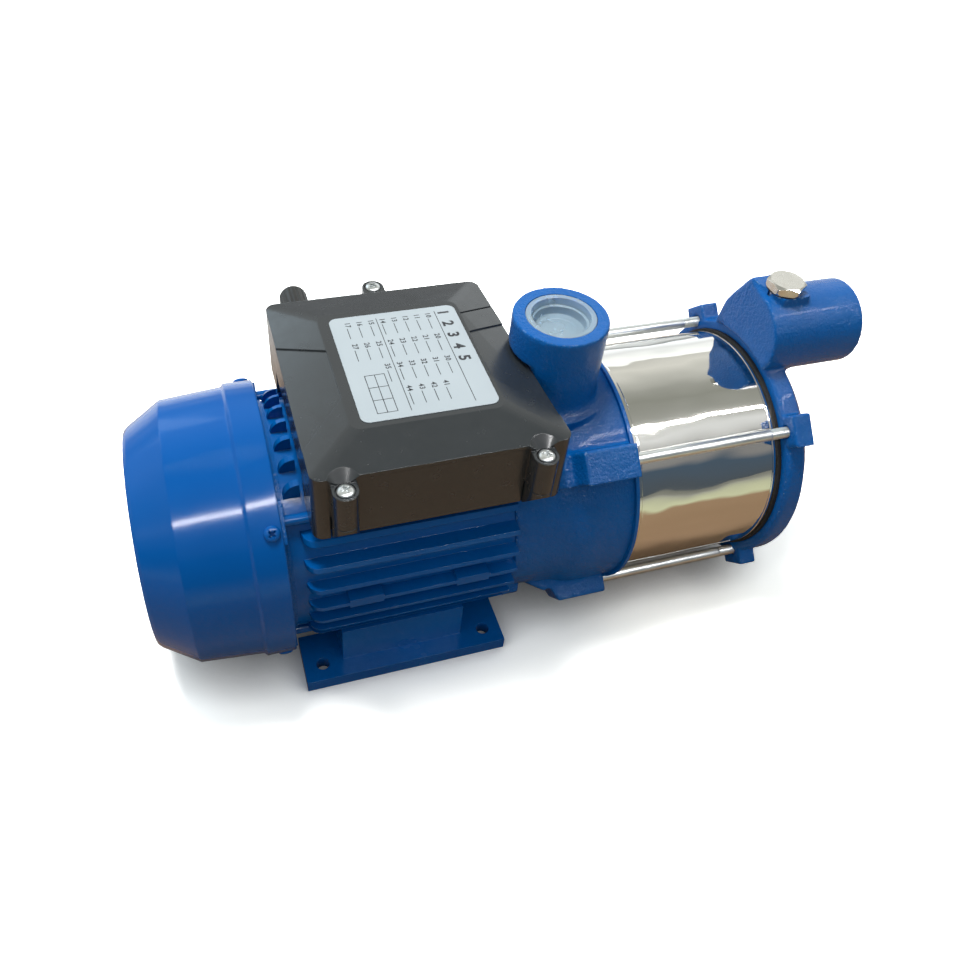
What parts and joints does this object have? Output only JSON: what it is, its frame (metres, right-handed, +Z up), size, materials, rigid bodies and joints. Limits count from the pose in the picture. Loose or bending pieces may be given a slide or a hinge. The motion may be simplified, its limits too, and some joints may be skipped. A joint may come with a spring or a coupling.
{
  "type": "surface pump",
  "caption": "Horizontal multistage surface pump with finned motor, terminal box, steel sleeve held by tie rods, and two threaded ports.",
  "frame": {"origin": "centre of the four foot holes, on the plane the feet stand on", "axes": "+X along the shaft from the fan cowl to the suction port, +Z up, +Y to the far side, where the cable gland is"},
  "size_m": [0.3771, 0.1635, 0.1804],
  "materials": {
    "cast_blue": "gloss blue enamel over casting",
    "cowl_blue": "gloss blue enamel on pressed steel",
    "zinc": "bright zinc plate",
    "steel": "ground steel",
    "stainless": "polished stainless sheet",
    "lamination": "varnished electrical sheet",
    "copper": "enamelled copper wire",
    "aluminium": "die cast aluminium",
    "brass": "bright brass",
    "rubber": "matt black rubber",
    "box_black": "satin charcoal plastic",
    "noryl": "glass filled plastic",
    "diffuser_grey": "glass filled plastic",
    "label": "pale adhesive plate",
    "capacitor_case": "smooth plastic case",
    "ceramic": "lapped ceramic",
    "graphite": "carbon graphite",
    "cap_white": "translucent white polyethylene"
  },
  "bodies": {
    "housing": {"motor_frame": "cast_blue", "rear_end_shield": "cast_blue", "fan_cowl": "cowl_blue", "cowl_screws": "cowl_blue", "motor_tie_bolts": "cast_blue", "stator_core": "lamination", "stator_windings": "copper", "rear_bearing_outer_ring": "steel", "front_bearing_outer_ring": "steel", "wave_washer": "steel", "terminal_base": "box_black", "base_gasket": "rubber", "terminal_cover": "box_black", "cover_screws": "zinc", "rating_plate": "label", "terminal_block": "diffuser_grey", "terminal_screws": "brass", "run_capacitor": "capacitor_case", "gland_body": "box_black", "gland_nut": "box_black", "gland_seal": "rubber", "gland_locknut": "box_black", "pump_bracket": "cast_blue", "pump_sleeve": "stainless", "rear_sleeve_gasket": "rubber", "front_sleeve_gasket": "rubber", "suction_casing": "cast_blue", "tie_rods": "zinc", "tie_rod_nuts": "zinc", "tie_rod_washers": "zinc", "seal_seat": "ceramic", "diffuser_1": "diffuser_grey", "diffuser_2": "diffuser_grey", "diffuser_3": "diffuser_grey", "diffuser_4": "diffuser_grey"},
    "rotor": {"rotor_shaft": "steel", "rotor_core": "lamination", "rotor_end_rings": "aluminium", "rear_bearing_inner_ring": "steel", "front_bearing_inner_ring": "steel", "cooling_fan": "noryl", "water_slinger": "rubber", "seal_face_ring": "graphite", "seal_bellows": "rubber", "seal_spring": "stainless", "impeller_key": "steel", "impeller_1": "noryl", "impeller_2": "noryl", "impeller_3": "noryl", "impeller_4": "noryl", "impeller_nut": "zinc"},
    "rear_ball_set": {"rear_bearing_balls": "zinc", "rear_bearing_cage": "brass"},
    "front_ball_set": {"front_bearing_balls": "zinc", "front_bearing_cage": "brass"},
    "filler_seat": {"filler_washer": "rubber"},
    "filler_plug": {"filler_plug": "zinc"},
    "drain_seat": {"drain_washer": "rubber"},
    "drain_plug": {"drain_plug": "zinc"},
    "port_cap": {"discharge_cap": "cap_white"}
  },
  "joints": [
    {"name": "rotor_spin", "type": "hinge", "parent": "housing", "child": "rotor", "pos_m": [0, 0, 0.071], "axis": [1, 0, 0], "continuous": true},
    {"name": "rear_cage_spin", "type": "hinge", "parent": "housing", "child": "rear_ball_set", "pos_m": [-0.0595, 0, 0.071], "axis": [1, 0, 0], "continuous": true},
    {"name": "front_cage_spin", "type": "hinge", "parent": "housing", "child": "front_ball_set", "pos_m": [0.059, 0, 0.071], "axis": [1, 0, 0], "continuous": true},
    {"name": "filler_rise", "type": "slide", "parent": "housing", "child": "filler_seat", "axis": [0, 0, 1], "range_m": [0, 0.00936]},
    {"name": "filler_turn", "type": "hinge", "parent": "filler_seat", "child": "filler_plug", "pos_m": [0.2122, 0, 0.1748], "axis": [0, 0, 1], "range_deg": [0, 2520]},
    {"name": "drain_rise", "type": "slide", "parent": "housing", "child": "drain_seat", "axis": [1, 0, 0], "range_m": [0, 0.00936]},
    {"name": "drain_turn", "type": "hinge", "parent": "drain_seat", "child": "drain_plug", "pos_m": [0.229, 0, 0.033], "axis": [1, 0, 0], "range_deg": [0, 2520]},
    {"name": "cap_pull", "type": "slide", "parent": "housing", "child": "port_cap", "axis": [0, 0, 1], "range_m": [0, 0.08]}
  ],
  "couplings": [
    {"joint": "rear_cage_spin", "follows": "rotor_spin", "ratio": 0.3812},
    {"joint": "front_cage_spin", "follows": "rotor_spin", "ratio": 0.38016},
    {"joint": "filler_rise", "follows": "filler_turn", "m_per_rad": 0.00021279},
    {"joint": "drain_rise", "follows": "drain_turn", "m_per_rad": 0.00021279}
  ]
}
